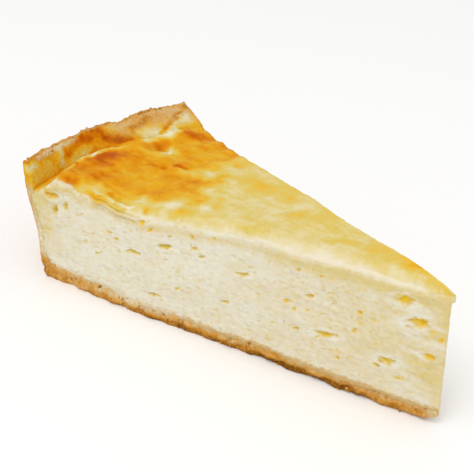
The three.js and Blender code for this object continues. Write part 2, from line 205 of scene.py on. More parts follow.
# Browner and paler patches on the rim: route through (x, y, z), width and change of tone
RIM_PATCHES = [
    ([(-124.8, -30, 37.9), (-124.9, -27, 37.9)], 1.5, 0.24),
    ([(-124.3, -30, 35.3), (-124.4, -28.4, 35.6)], 1.6, -0.55),
    ([(-124.2, -25.3, 34), (-123.9, -22.3, 33.2)], 3.0, -0.12),
    ([(-122.6, -27.5, 31), (-122, -22, 31)], 2.2, -0.1),
    ([(-126, -17.6, 36.4), (-125.1, -17.8, 33.7), (-123.5, -18, 31.5)], 1.2, -0.5),
    ([(-125.8, -15.2, 34.4), (-126.1, -12.7, 35.6), (-126.5, -9.8, 36.5)], 1.6, 0.2),
    ([(-126.6, -8.4, 36.6), (-127, -5, 37), (-127.4, -2.1, 37.3)], 1.8, 0.28),
    ([(-124, -13, 32), (-124.8, -9, 33)], 1.8, -0.3),
    ([(-123.2, -16.5, 32), (-123.2, -13, 32)], 1.6, -0.16),
    ([(-125.4, -1.3, 34.8), (-124, 1.4, 34.0), (-122.6, 3.9, 33.4)], 1.7, 0.38),
    ([(-122, 5, 33.1), (-120.8, 6.6, 32.7)], 1.4, 0.14),
    ([(-127.4, 2.5, 37), (-126, 5.2, 36)], 2.0, -0.05),
    ([(-123.8, 8.4, 35.1), (-124, 10.9, 35.9), (-124.8, 14, 36.6)], 1.9, 0.28),
    ([(-118.4, 8.9, 33.8), (-120, 10.4, 34.4), (-118.4, 13, 34)], 2.0, -0.4),
    ([(-117.7, 19.8, 35.2), (-118.8, 22.9, 35), (-119.4, 25.8, 35)], 2.0, -0.34),
    ([(-115.2, 14.4, 33.6), (-115.2, 18.2, 33.8)], 1.7, -0.55),
    ([(-121.6, 24, 35.4), (-122.6, 26.5, 35.6)], 1.2, 0.18),
    ([(-123.4, -7.5, 33), (-121.2, -1.5, 33.5)], 1.6, 0.2),
    (RIM_CRACK, 0.9, 0.42),
    ([(-126.2, 29, 37), (-125.6, 30.4, 36.8)], 1.5, 0.34),
    ([(-124.6, 27.6, 36.8), (-123.4, 29, 36.4)], 1.7, 0.34),
]
# Furrows (-) and folds (+) of the rim, in the same way
RIM_STROKES = [
    (RIM_CRACK, 1.0, -0.55),
    ([(-121.4, 25.2, 36), (-118.7, 21, 35.5), (-117, 17.6, 35.2)], 0.8, 0.4),
    ([(-126.2, -18.2, 36.6), (-125, -18.6, 33.7), (-123.4, -18.8, 31.5)], 0.9, 0.6),
    ([(-126, -15.6, 36), (-125, -15.8, 33)], 0.9, -0.35),
    ([(-125.4, -1.3, 34.8), (-124, 1.4, 34), (-121.6, 5, 33.1)], 1.2, -0.5),
    ([(-127.2, 0.5, 36), (-125, 4, 35)], 1.1, 0.35),
    ([(-120.6, 9.2, 33.9), (-121.1, 12.4, 35)], 1.3, 0.35),
]

# Paler (-) and yellower (+) places in the curd of the front cut: radius, height, reach, amount
CURD_PATCHES = [
    (9.8, 25.6, 2.6, -0.5), (3.6, 27.4, 2.2, 0.3), (23, 16.5, 6, 0.16), (47, 18.5, 8, 0.16),
    (3.5, 5, 5, -0.3), (31, 30, 4, -0.14), (10.6, 33, 3, -0.15), (3, 34, 3.5, 0.2),
]
# Larger marks of the front cut: route through (radius, height), width and height of the relief
FRONT_MARKS = [
    ([(121, 31.4), (118.8, 32.9), (115.6, 33.2)], 1.3, 1.1),
    ([(120.2, 32.4), (117, 33.4)], 0.7, -0.7),
    ([(122.3, 28.3), (120, 28), (117, 28.4)], 0.7, 0.7),
    ([(38, 24.4), (33, 24.1), (27.5, 23.6)], 0.6, 0.35),
]
FRONT_CRACK = [(123.4, 31), (122, 30.1), (120, 29.5), (117.4, 29.5)]
# Bubbles that the knife opened in the front cut: radius, height, width, height of the hole
FRONT_PORES = [
    (119.5, 29.6, 4.8, 1.5), (118.9, 25.0, 2.5, 3.8), (114.9, 27.0, 2.0, 3.0), (91.8, 19.6, 5.9, 1.2),
    (88.2, 30.2, 2.6, 1.7), (84.8, 7.8, 5.2, 0.9), (80.7, 25.0, 4.6, 1.4), (77.0, 12.8, 2.6, 0.9),
    (72.2, 30.7, 2.0, 1.4), (71.5, 27.5, 2.3, 1.0), (68.9, 25.7, 2.0, 1.0), (61.9, 14.1, 2.9, 1.0),
    (55.8, 24.8, 3.3, 1.2), (43.0, 21.6, 1.7, 1.4), (40.5, 20.1, 1.2, 1.6), (36.5, 25.4, 3.0, 0.7),
    (31.8, 15.4, 5.7, 1.7), (23.9, 19.7, 1.6, 1.6), (22.7, 25.6, 2.2, 1.0), (14.9, 14.0, 4.3, 2.2),
    (17.5, 11.8, 2.4, 1.0), (11.8, 33.2, 4.6, 2.5), (11.5, 9.9, 2.1, 1.0), (7.4, 28.4, 5.2, 2.5),
    (40.4, 14.0, 2.6, 1.0), (27.8, 9.7, 2.5, 1.0), (3.9, 19.7, 3.9, 1.6), (1.4, 25.4, 1.8, 1.9),
    (64.8, 32.9, 1.5, 0.8), (85.6, 28.7, 1.9, 0.8), (79.0, 28.8, 1.9, 0.7), (99.5, 23.5, 1.7, 0.8),
    (97.5, 22.0, 2.0, 0.9), (40.1, 32.0, 1.5, 0.9), (33.6, 32.1, 1.8, 0.9), (104.5, 15.2, 2.2, 0.8),
]
BACK_PORES = 34
SMALL_PORES = 520
PORE_TILT = 0.14  # how much a pore sinks towards the rim, per millimetre


# ---- Mathematical helpers
def smoothstep(x, low, high):
    """0 below low, 1 above high, with a soft rise between."""
    s = np.clip((np.asarray(x, float) - low) / (high - low), 0, 1)
    return s * s * (3 - 2 * s)


def falloff(x, low, high):
    """1 below low, 0 above high, with a soft fall between."""
    return 1 - smoothstep(x, low, high)


def bell(x, width):
    return np.exp(-((x / width) ** 2))


def lerp(a, b, share):
    return a + (b - a) * share


def curve_through(knots):
    """A smooth curve through (x, y) knots (cubic Hermite), level beyond its ends."""
    x, y = np.array(knots, float).T
    before, after = np.r_[0, np.arange(len(x) - 1)], np.r_[np.arange(1, len(x)), len(x) - 1]
    slope = (y[after] - y[before]) / (x[after] - x[before])

    def value(at):
        at = np.clip(at, x[0], x[-1])
        i = np.clip(np.searchsorted(x, at, side="right") - 1, 0, len(x) - 2)
        span = x[i + 1] - x[i]
        s = (at - x[i]) / span
        return (
            (2 * s**3 - 3 * s**2 + 1) * y[i]
            + (s**3 - 2 * s**2 + s) * span * slope[i]
            + (3 * s**2 - 2 * s**3) * y[i + 1]
            + (s**3 - s**2) * span * slope[i + 1]
        )

    return value


def ripples(x, y, wavelength, seed):
    """Uneven waves between about -1 and 1: six sines in spread directions, as in the part's source."""
    total = 0
    for k in range(6):
        direction = 2.4 * k + 1.7 * seed
        pitch = 2 * math.pi * (0.75 + 0.13 * k) / wavelength
        along = x * math.cos(direction) + y * math.sin(direction)
        total = total + np.sin(along * pitch + 1.9 * k + 3.1 * seed)
    return total / 3


def noise(x, y, z, size, seed):
    """Smooth gradient noise between about -1 and 1 with features of the given size."""
    x, y, z = np.broadcast_arrays(x, y, z)
    points = np.stack([x, y, z], -1).astype(float) / size + 17.3 * seed
    cell = np.floor(points).astype(np.int64)
    inside = points - cell
    fade = inside**3 * (inside * (inside * 6 - 15) + 10)
    table = np.random.default_rng(seed).normal(size=(1024, 3))
    table /= np.linalg.norm(table, axis=1, keepdims=True)
    total = 0
    for corner in itertools.product((0, 1), repeat=3):
        c = cell + corner
        key = (c[..., 0] * 73856093 ^ c[..., 1] * 19349663 ^ c[..., 2] * 83492791) & 1023
        weight = np.prod(np.where(corner, fade, 1 - fade), axis=-1)
        total = total + weight * ((inside - corner) * table[key]).sum(-1)
    return 1.6 * total


def layered_noise(x, y, z, size, seed, layers):
    """Noise with finer and fainter layers added to it."""
    return sum(noise(x, y, z, size / 2**k, seed + k) / 2**k for k in range(layers))


def from_route(point, route):
    """Distance from each point (a tuple of coordinate arrays) to a route of points."""
    nearest = np.inf
    for start, end in zip(route, route[1:] if len(route) > 1 else route):
        span = [b - a for a, b in zip(start, end)]
        away = [p - a for p, a in zip(point, start)]
        length = max(sum(d * d for d in span), 1e-9)
        share = np.clip(sum(d * w for d, w in zip(span, away)) / length, 0, 1)
        nearest = np.minimum(nearest, sum((w - share * d) ** 2 for d, w in zip(span, away)))
    return np.sqrt(nearest)


def strokes(point, table):
    """Sum of soft strokes, each a (route, width, height) row."""
    return sum(height * bell(from_route(point, route), width) for route, width, height in table)


# ---- The slice's forms, as functions of radius, across (-1 front cut, +1 back cut) and height
RIM_HALF_WIDTH = CAKE_RADIUS * math.sin(HALF_ANGLE)
front_skin = curve_through(SKIN_ALONG_FRONT)
back_skin = curve_through(SKIN_ALONG_BACK)
crest_share = curve_through(CREST)
lip_reach = curve_through(LIP_REACH)
gold_border = curve_through(GOLD_BORDER)


def half_width(x):
    return lerp(TIP_HALF_WIDTH, RIM_HALF_WIDTH, -x / (CAKE_RADIUS * math.cos(HALF_ANGLE)))


def plan(radius, across):
    """Plan position of a point of the slice."""
    angle = across * HALF_ANGLE
    blunt = across * TIP_HALF_WIDTH * (1 - radius / CAKE_RADIUS)
    return -radius * np.cos(angle), radius * np.sin(angle) + blunt


def around_dimple(x, y):
    """Distance and direction from the dimple's middle."""
    from_x, from_y = x - DIMPLE["place"][0], y - DIMPLE["place"][1]
    return np.hypot(from_x, from_y), np.arctan2(from_y, from_x)


def swollen_ring(radius, across):
    """Rise of the skin's swollen ring beside the rim."""
    bend = smoothstep(across, -1, -0.65) - smoothstep(across, -0.2, 0.1)
    from_ring = radius - SWELLING["radius"] - SWELLING["bend"] * bend
    width = np.where(from_ring > 0, SWELLING["towards_rim"], SWELLING["towards_tip"])
    fade = smoothstep(across, -1.1, -0.7) * falloff(across, 0.05, 0.45)
    return SWELLING["height"] * bell(from_ring, width) * fade


def skin_height(x, y, across):
    """Height of the skin's main form: what the part's solid has too."""
    radius = np.hypot(x, y)
    share = radius / CAKE_RADIUS
    level = RIM_HEIGHT * lerp(front_skin(share), back_skin(share), (across + 1) / 2)
    near_rim = smoothstep(radius, WRINKLES["from"], WRINKLES["to"]) * falloff(radius, 119, 126)
    folds = np.sin(0.85 * radius + 2.2 * ripples(x, y, 38, 2))
    wrinkles = near_rim * (WRINKLES["folds"] * folds + WRINKLES["creases"] * ripples(x, y, 13, 5))
    raised = swollen_ring(radius, across) + wrinkles + SKIN_WAVES * ripples(x, y, 27, 1)
    dimple = DIMPLE["depth"] * bell(around_dimple(x, y)[0], DIMPLE["width"])
    corner = FRONT_CORNER_SINK * smoothstep(radius, 119, 126) * falloff(across, -0.85, -0.4)
    from_front_cut = (y + half_width(x)) * math.cos(HALF_ANGLE)
    clear_of_swelling = falloff(radius, 110, 116)
    dragged = DRAGGED_EDGE["depth"] * bell(from_front_cut, DRAGGED_EDGE["width"]) * clear_of_swelling
    return level + raised - dimple - corner - dragged


def skin_detail(x, y):
    """Creases, folds and fine unevenness of the skin, on top of its main form."""
    wobble = 0.5 * noise(x, y, 0, 5, 21)
    detail = strokes((x + wobble, y - wobble), SKIN_STROKES)
    distance, direction = around_dimple(x, y)
    spokes = np.sin(5 * direction + 0.9 * noise(x, y, 0, 3, 23))
    detail += 0.3 * spokes * bell(distance - 4.5, 2.6) - 0.5 * bell(distance, 1.3)
    near_rim = smoothstep(np.hypot(x, y), 60, 110)
    return detail + lerp(0.05, 0.2, near_rim) * layered_noise(x, y, 0, 4.2, 31, 3)


def lip_foot(across):
    """Radius at which the pastry's lip meets the skin."""
    return WALL_INSIDE - lip_reach(across)


def lap_onto_lip(x, y, radius, across):
    """Rise of the skin where it runs out, with a ragged border, over the sloping part of the lip."""
    sloping = smoothstep(across, -0.3, 0.25)
    past_foot = radius - lip_foot(across)
    ragged = 0.3 * layered_noise(x, y, 0, 3, 141, 2) * smoothstep(past_foot, -2.5, 0)
    return sloping * (0.62 * smoothstep(past_foot, -3.2, 0) + 0.25 * np.maximum(past_foot, 0) + ragged)


def wall_points(across):
    """Outside and inside point of the pastry's last stations, which change along the rim."""
    reach = lip_reach(across)
    crest = RIM_HEIGHT * crest_share(across) + 0.22 * ripples(9 * across, 0, 5, 3)
    x, y = plan(lip_foot(across), across)
    feathered = lerp(-0.4, 0.45, smoothstep(across, -0.1, 0.5))
    foot = skin_height(x, y, across) + feathered
    one = np.ones_like(across)
    return [
        ((129.2 * one, 29 * one), (WALL_INSIDE - 0.35 * reach, np.minimum(28.4, foot - 2))),
        ((129.6 * one, 33.5 * one), (WALL_INSIDE - reach, foot)),
        ((129.7 * one, crest - 1.3), (WALL_INSIDE - 0.45 * reach, lerp(foot, crest, 0.56))),
        ((129.3 * one, crest), ((WALL_INSIDE + 0.5) * one, crest - 0.15)),
    ]


def shell_profile(shares, across):
    """Outside and inside of the pastry at shares of the way from tip to crest, for every across.

    Returns an array (share, across, 2 sides, 2 coordinates). A Catmull-Rom spline runs through the stations.
    """
    one = np.ones_like(across)
    stations = [((o[0] * one, o[1] * one), (i[0] * one, i[1] * one)) for o, i in SHELL_STATIONS]
    stations = np.array(stations + wall_points(across)).transpose(0, 3, 1, 2)
    last = len(stations) - 1
    at = np.clip(shares, 0, 1) * last
    i = np.clip(np.floor(at).astype(int), 0, last - 1)
    t = (at - i)[:, None, None, None]
    a, b, c, d = (stations[np.clip(i + k, 0, last)] for k in (-1, 0, 1, 2))
    spline = 0.5 * (2 * b + (c - a) * t + (2 * a - 5 * b + 4 * c - d) * t**2 + (3 * b - a - 3 * c + d) * t**3)
    at_end = ((i == 0) | (i == last - 1))[:, None, None, None]
    profile = np.where(at_end, lerp(b, c, t), spline)
    profile[..., 0, 1] = np.maximum(profile[..., 0, 1], 0)
    return profile


def knife_shift(radius, height, side):
    """How far a cut face stands out of the knife's plane, before its fine relief.

    Towards the tip the crust stands less proud than in the part's source, because the photo's does.
    """
    x = -radius * math.cos(HALF_ANGLE)
    in_crust = falloff(height, 2.5, 4.5)
    proud = 0.1 + 0.6 * smoothstep(-x, 56, 80) - smoothstep(-x, 98, 120)
    waves = 0.22 * ripples(x, height, 24, 6 + side) + in_crust * 0.4 * ripples(x, 2 * height, 7, 8 + side)
    return in_crust * proud + waves * smoothstep(-x, 0, 8)


def knife_shift_both(radius, height, across):
    return np.where(across < 0, knife_shift(radius, height, -1), knife_shift(radius, height, 1))


# ---- Meshes. Points are given in the cake's own coordinates; faces are rows of point numbers.
class Shape:
    """Points and faces of one piece, with two marks a point: share of the way up and depth from outside."""

    def __init__(self):
        self.samples = []
        self.faces = []
        self.count = 0

    def add(self, radius, across, height, share=0.0, depth=0.0):
        """Adds points and returns their numbers in an array of the same form."""
        grid = np.broadcast_arrays(radius, across, height, share, depth)
        self.samples.append(np.stack([g.ravel() for g in grid], 1).astype(float))
        numbers = self.count + np.arange(grid[0].size).reshape(grid[0].shape)
        self.count += grid[0].size
        return numbers

    def quads(self, grid, flip=False):
        corners = np.stack([grid[:-1, :-1], grid[1:, :-1], grid[1:, 1:], grid[:-1, 1:]], -1).reshape(-1, 4)
        self.faces.extend((corners[:, ::-1] if flip else corners).tolist())

    def polygon(self, numbers, flip=False):
        ring = [int(n) for n in numbers]
        self.faces.append(ring[::-1] if flip else ring)

    def coordinates(self):
        return np.concatenate(self.samples).T


def make_piece(name, xyz, faces, fields, material, replaced=None):
    """A mesh object from points in mm in the cake's plan, with one float attribute for each field."""
    mesh = bpy.data.meshes.new(name)
    placed = np.asarray(xyz, float) * 0.001 + np.array(CAKE_CENTRE)
    low, high = np.array(CAD_BOX[0]), np.array(CAD_BOX[1])
    mesh.from_pydata(np.clip(placed, low, high), [], faces)
    for field, values in fields.items():
        attribute = mesh.attributes.new(field, "FLOAT", "POINT")
        attribute.data.foreach_set("value", np.asarray(values, np.float32))
    mesh.shade_smooth()
    mesh.materials.append(material)
    piece = bpy.data.objects.new(name, mesh)
    bpy.context.scene.collection.objects.link(piece)
    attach(piece, "root")
    if replaced:
        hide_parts(replaced)
    return piece


def point_normals(xyz, faces):
    """Outward direction at each point, from the four-sided faces around it."""
    quads = np.array([f for f in faces if len(f) == 4])
    diagonals = np.cross(xyz[quads[:, 2]] - xyz[quads[:, 0]], xyz[quads[:, 3]] - xyz[quads[:, 1]])
    normals = np.zeros_like(xyz)
    for corner in range(4):
        np.add.at(normals, quads[:, corner], diagonals)
    return normals / np.maximum(np.linalg.norm(normals, axis=1, keepdims=True), 1e-9)


# ---- Fields that the relief and the materials share
def tone_patches(x, y, z):
    """Local browner and paler changes, with ragged borders, on skin and rim alike; a few skin rows are
    painted highlight and painted shade.
    """
    wobble = 1.1 * layered_noise(x, y, z, 4, 61, 3) + 0.5 * noise(x, y, z, 1.2, 65)
    x, y = x + wobble, y + 0.8 * wobble
    on_crest = smoothstep(z, 35.8, 36.6) * smoothstep(-x, 116, 120)
    return strokes((x, y), SKIN_PATCHES) * (1 - on_crest) + strokes((x, y, z), RIM_PATCHES)


def edge_tone_and_painted_light(x, y, radius, patchy):
    """How much paler (+) or browner (-) the skin is painted along its two cuts: paler skin with a painted
    highlight on the front cut's rounded edge, and painted shade along the back cut's edge.
    """
    from_front = (y + half_width(x)) * math.cos(HALF_ANGLE)
    from_back = (half_width(x) - y) * math.cos(HALF_ANGLE)
    off_tip = smoothstep(radius, 3, 11)
    width = 1.2 + 3.3 * bell(radius - 38, 13) * (1 + 0.9 * patchy) + 1.2 * bell(radius - 105, 3)
    # Paler skin in a band along the front cut, partly a painted highlight on its rounded top edge
    band = falloff(from_front, 0.1 * width, 1.5 * width) * falloff(radius, 119, 122)
    band *= (1 - 0.6 * bell(radius - 99, 6)) * (1 - 0.6 * bell(radius - 66, 11)) * off_tip
    # A painted highlight right along the front cut's top edge
    edge = falloff(from_front, 0.4, 1.3) * falloff(radius, 46, 60) * off_tip
    # Browner along the back cut's edge: painted shade
    return 0.2 * band + 0.19 * edge - 0.06 * bell(from_back, 2.0) - 0.08 * bell(from_back, 0.7)


def browning_and_painted_light(x, y, z, across):
    """How brown the skin is, from 0 (cream) over 0.5 (golden) to 1 (dark brown), with painted highlight and
    painted shade along its cut edges and in a few patches.
    """
    radius = np.hypot(x, y)
    patchy = layered_noise(x, y, z, 8, 41, 4)
    streaky = layered_noise(0.3 * x, 1.2 * y, z, 2.4, 51, 3)
    fine = noise(0.6 * x, 1.4 * y, z, 1.1, 57)
    golden = smoothstep(radius - gold_border(across) + 6 * patchy, -6, 6)
    on_lip = smoothstep(across, -0.1, 0.25) * smoothstep(radius - lip_foot(across), -4, 0)
    value = 0.27 + 0.34 * golden + 0.05 * smoothstep(radius, 88, 118) - 0.12 * on_lip
    value += 0.1 * patchy + lerp(0.05, 0.1, golden) * streaky + lerp(0.03, 0.045, golden) * fine
    value += tone_patches(x, y, z) - edge_tone_and_painted_light(x, y, radius, patchy)
    return np.clip(value, 0.02, 1)


# ---- Curd filling
def wall_inside(height, across):
    """Radius of the pastry wall's inside at a height, for one across."""
    shares = np.linspace(0, 1, 400)
    profile = shell_profile(shares, np.array([across]))[:, 0, 1]
    above_corner = profile[:, 1] > 2.3 * BASE_THICKNESS - 0.05
    below_lip = shares < 0.9
    radius, z = profile[above_corner & below_lip].T
    order = np.argsort(z)
    return np.interp(height, z[order], radius[order])


def base_top(radius):
    """Height of the pastry base's inside at a radius."""
    inside = np.array([station[1] for station in SHELL_STATIONS[:12]])
    return np.interp(radius, inside[:, 0], inside[:, 1])


def filling_cut(side, columns, rows):
    """Radius and height over one cut face, rim to tip and crust to skin, settled in a few rounds."""
    u = np.linspace(0, 1, columns + 1)[:, None]
    h = np.linspace(0, 1, rows + 1)[None, :]
    radius = np.broadcast_to((1 - u) * 126, (columns + 1, rows + 1))
    for _ in range(6):
        x, y = plan(radius, side)
        height = lerp(base_top(radius) - TUCK, skin_height(x, y, side), h)
        radius = (1 - u) * (wall_inside(height, side) + TUCK)
    return radius, height


def pore_places(side):
    """The opened bubbles of one cut: radius, height, width, height of the hole and strength."""
    random = np.random.default_rng(70 + side)
    holes = [(*hole, 1.0) for hole in FRONT_PORES] if side < 0 else []
    for at_radius, at_height, width, tall, _ in list(holes):
        for _ in range(int(1 + width)):
            along, up = random.normal(0, 0.4, 2)
            small = (0.25 + 0.3 * random.random()) * min(width, 3)
            place = (at_radius + along * width, at_height + up * tall - PORE_TILT * along * width)
            holes.append((*place, small, 0.7 * small, 0.4 + 0.5 * random.random()))
    for _ in range(BACK_PORES if side > 0 else 0):
        width = 1.6 + 4.2 * random.random() ** 2
        place = (4 + 118 * random.random(), 6 + 26 * random.random())
        holes.append((*place, width, 0.8 + 0.9 * random.random(), 1.0))
    for _ in range(SMALL_PORES):
        width = 0.5 + 1.3 * random.random() ** 2
        tall = width * (0.45 + 0.3 * random.random())
        place = (123 * random.random(), 4.5 + 29 * random.random())
        holes.append((*place, width, tall, 0.2 + 0.45 * random.random() ** 2))
    return holes


def pores(radius, height, side):
    """Relief of the opened bubbles on a cut face, how far each point lies inside one, and the paler ring
    around the larger ones, partly a painted highlight on their rims.
    """
    ragged = 0.5 * layered_noise(radius / 1.5, height, side, 0.9, 81, 2)
    relief, inside, pale_ring_and_highlight = (np.zeros_like(radius) for _ in range(3))
    for at_radius, at_height, width, tall, strength in pore_places(side):
        reach = 0.5 + 1.2 * max(width, tall)
        near = (np.abs(radius - at_radius) < reach) & (np.abs(height - at_height) < reach)
        along = radius[near] - at_radius
        up = height[near] - at_height + PORE_TILT * along
        out = np.sqrt((2 * along / width) ** 2 + (2 * up / tall) ** 2) + ragged[near]
        depth = 0.29 * strength * math.sqrt(tall * min(width, 3.0))
        bowl = falloff(out, 0.35, 1.2)
        lip = 0.26 * strength * bell((up + 0.75 * tall) / tall, 0.5) * bell(along / width, 0.5)
        relief[near] += lip - depth * bowl
        inside[near] = np.maximum(inside[near], bowl * strength)
        # A paler ring just outside the larger pores, partly a painted highlight on their rims
        paled_and_lit = strength * smoothstep(width, 1.8, 4.5) * bell(out - 1.5, 0.5)
        pale_ring_and_highlight[near] = np.maximum(pale_ring_and_highlight[near], paled_and_lit)
    return relief, inside, pale_ring_and_highlight


def torn_zone(radius):
    """Where along the front cut the skin is torn into layers."""
    return smoothstep(radius, 88, 92) * falloff(radius, 103, 107)


def front_features(radius, height, below_skin):
    """Relief of the front cut's larger marks and torn skin, and its crack."""
    crack = bell(from_route((radius, height), FRONT_CRACK), 0.6)
    layered = torn_zone(radius) * falloff(below_skin, 2.4, 3.4)
    folds = 0.35 * layered * np.sin(2 * math.pi * below_skin / 1.3 + 0.2 * radius)
    return strokes((radius, height), FRONT_MARKS) - 0.3 * crack + folds, crack


def cut_relief(radius, height, below_skin, side):
    """Fine relief of a cut face, and its fields for the pores and for the pale ring around them, partly a
    painted highlight on their rims.
    """
    streaks = noise(radius / 5, height / 0.9, side, 1, 91)
    streaks += 0.6 * noise(radius / 2.2, height / 0.7, side, 1, 92)
    lumps = noise(radius / 1.6, height, side, 4.5, 93)
    grain = layered_noise(radius / 1.3, height, 3 * side, 1.5, 94, 2)
    holes, inside, pale_ring_and_highlight = pores(radius, height, side)
    crumbly = smoothstep(layered_noise(radius / 2.2, height + 0.12 * radius, side, 1.2, 97, 2), 0.42, 0.75)
    crumbly *= smoothstep(noise(radius / 1.5, height, side, 11, 98), -0.25, 0.35)
    inside = np.maximum(inside, 0.5 * crumbly)
    rounded = -0.6 * falloff(below_skin, 0, 1.8) ** 1.5 - 0.12 * bell(below_skin - 3.2, 1.3)
    rounded *= lerp(1, 0.4, smoothstep(radius, 108, 114))
    relief = 0.07 * streaks + 0.15 * lumps + 0.17 * grain + holes - 0.22 * crumbly + rounded
    if side < 0:
        features, crack = front_features(radius, height, below_skin)
        relief += features
        inside = np.maximum(inside, crack)
    return relief, inside, pale_ring_and_highlight


def curd_warmth(radius, across, height, below_skin, pale_ring_and_highlight):
    """How yellow the curd is, from 0 (white) to 1 (warm yellow), with painted shade next to the wall and a
    painted highlight around the larger pores.
    """
    warmth = 0.12 + 0.45 * smoothstep(-radius, -75, -8) * lerp(0.55, 1, smoothstep(height, 5, 19))
    warmth += 0.6 * bell(below_skin - 2.8, 1.5) + 0.3 * bell(below_skin - 1.6, 0.8) * bell(radius - 14, 22)
    # The second term makes the curd yellower and darker next to the wall, above the base: painted shade
    warmth += 0.3 * bell(radius, 5) + 0.8 * smoothstep(radius, 115, 124) * smoothstep(height, 6, 24)
    # Whiter in the ring around the larger pores, partly a painted highlight
    warmth += 0.22 * layered_noise(radius, height, across, 9, 95, 3) - 0.45 * pale_ring_and_highlight
    warmth += 0.6 * bell(radius, 14) * noise(radius / 5, height, across, 1.6, 100)
    for at_radius, at_height, reach, amount in CURD_PATCHES:
        distance = np.hypot(radius - at_radius, height - at_height)
        warmth += amount * bell(distance, reach) * (across < 0)
    return np.clip(warmth, 0, 1)


def crust_stain(radius, across, height):
    """How far the curd just above the base takes on the crust's colour."""
    over_base = height - base_top(radius) + 0.5 * noise(radius, 0, across, 2.4, 99)
    over_base += 0.7 * noise(radius, height, across, 0.9, 102)
    soaked = lerp(0.95, 0.35, smoothstep(radius, 60, 104))
    full_below = lerp(0.7, 0.1, smoothstep(radius, 50, 70))
    return soaked * falloff(over_base, full_below, 1.5)


def filling_mesh(columns=320, rows=92, across_columns=68):
    """The filling's shape, with the point numbers of its skin grid and the number of points on the cuts.

    The skin grid runs from rim to tip and from the front cut to the back cut, finer near the cuts.
    """
    shape = Shape()
    radius_front, height_front = filling_cut(-1, columns, rows)
    radius_back, height_back = filling_cut(1, columns, rows)
    front = shape.add(radius_front, -1.0, height_front)
    back = shape.add(radius_back, 1.0, height_back)
    cut_count = shape.count

    # Skin and cut faces
    v = np.linspace(-1, 1, across_columns + 1)[1:-1]
    across = np.sign(v) * (1 - (1 - np.abs(v)) ** 1.15)
    u = np.linspace(0, 1, columns + 1)
    lapped = lip_foot(across) + TUCK + 1.4 * smoothstep(across, -0.3, 0.25)
    skin = shape.add((1 - u)[:, None] * lapped, across, 0.0)
    top = np.hstack([front[:, -1:], skin, back[:, -1:]])
    shape.quads(top)
    shape.quads(front)
    shape.quads(back, flip=True)

    # Side towards the pastry wall, underside and blunt tip
    inner_height = lerp(height_front[0, :-1], height_back[0, :-1], 0.5)
    wall_radius = np.array([wall_inside(inner_height, a) for a in across]).T + TUCK
    wall = shape.add(wall_radius, across[None, :], inner_height[:, None])
    wall = np.hstack([front[0, :-1, None], wall, back[0, :-1, None]])
    wall = np.vstack([wall, top[0]])
    shape.quads(wall)
    shape.quads(np.stack([front[1:, 0], back[1:, 0]], 1), flip=True)
    shape.polygon([*wall[0], back[1, 0], front[1, 0]])
    shape.quads(np.stack([front[-1, :-1], back[-1, :-1]], 1), flip=True)
    shape.polygon([front[-1, -2], back[-1, -2], *top[-1][::-1]])
    return shape, top, cut_count


def build_filling(material):
    shape, top, cut_count = filling_mesh()
    radius, across, height, _, _ = shape.coordinates()
    is_skin = np.isin(np.arange(shape.count), top)
    is_cut = np.arange(shape.count) < cut_count
    x, y = plan(radius, across)
    over = skin_height(x, y, across) + skin_detail(x, y) + lap_onto_lip(x, y, radius, across)
    height = np.where(is_skin, over, height)
    below_skin = np.maximum(over - height, 0)

    # Knife waves and relief move the cut faces along their normals, and fade into the skin behind them
    shift = np.where(is_cut, knife_shift_both(radius, height, across), 0)
    pore, pale_ring_and_highlight = np.zeros(shape.count), np.zeros(shape.count)
    for side in (-1, 1):
        face = is_cut & (across == side)
        relief, pore[face], pale_ring_and_highlight[face] = cut_relief(radius[face], height[face], below_skin[face], side)
        shift[face] += relief
    sideways = shift * np.sign(across)
    skin = top[:, 1:-1]
    share_across = (across[skin] + 1) / 2
    for amount in (shift, sideways):
        amount[skin] = lerp(amount[top[:, :1]], amount[top[:, -1:]], share_across)
    x = x + shift * math.sin(HALF_ANGLE)
    y = y + sideways * math.cos(HALF_ANGLE)
    overhang = 0.8 * smoothstep(height, 36.4, 37.1) - 0.45 * smoothstep(height, 5, 30)
    x = x + overhang * falloff(radius, 0, 2.5)

    torn = torn_zone(radius) * (across == -1)
    skin_depth = lerp(0.9, 2.6, torn) * (1 + 0.5 * noise(radius, 0, across, 3, 96))
    browned_edge = is_cut * falloff(below_skin, 0.3 * skin_depth, skin_depth)
    fields = {
        "browning_and_painted_light": browning_and_painted_light(x, y, height, across),
        "skin": np.where(is_skin, 1.0, browned_edge),
        "pore": pore,
        "warmth": curd_warmth(radius, across, height, below_skin, pale_ring_and_highlight),
        "stain": crust_stain(radius, across, height) * is_cut,
    }
    xyz = np.stack([x, y, height], 1)
    make_piece("curd_filling", xyz, shape.faces, fields, material, "filling")


# ---- Shortcrust shell
def arc_shares(spacing):
    """Shares from tip to crest that lie an even distance apart along the pastry."""
    shares = np.linspace(0, 1, 2000)
    middle = shell_profile(shares, np.array([0.0]))[:, 0].mean(1)
    along = np.r_[0, np.cumsum(np.linalg.norm(np.diff(middle, axis=0), axis=1))]
    count = int(along[-1] / spacing)
    return np.interp(np.linspace(0, along[-1], count + 1), along, shares)


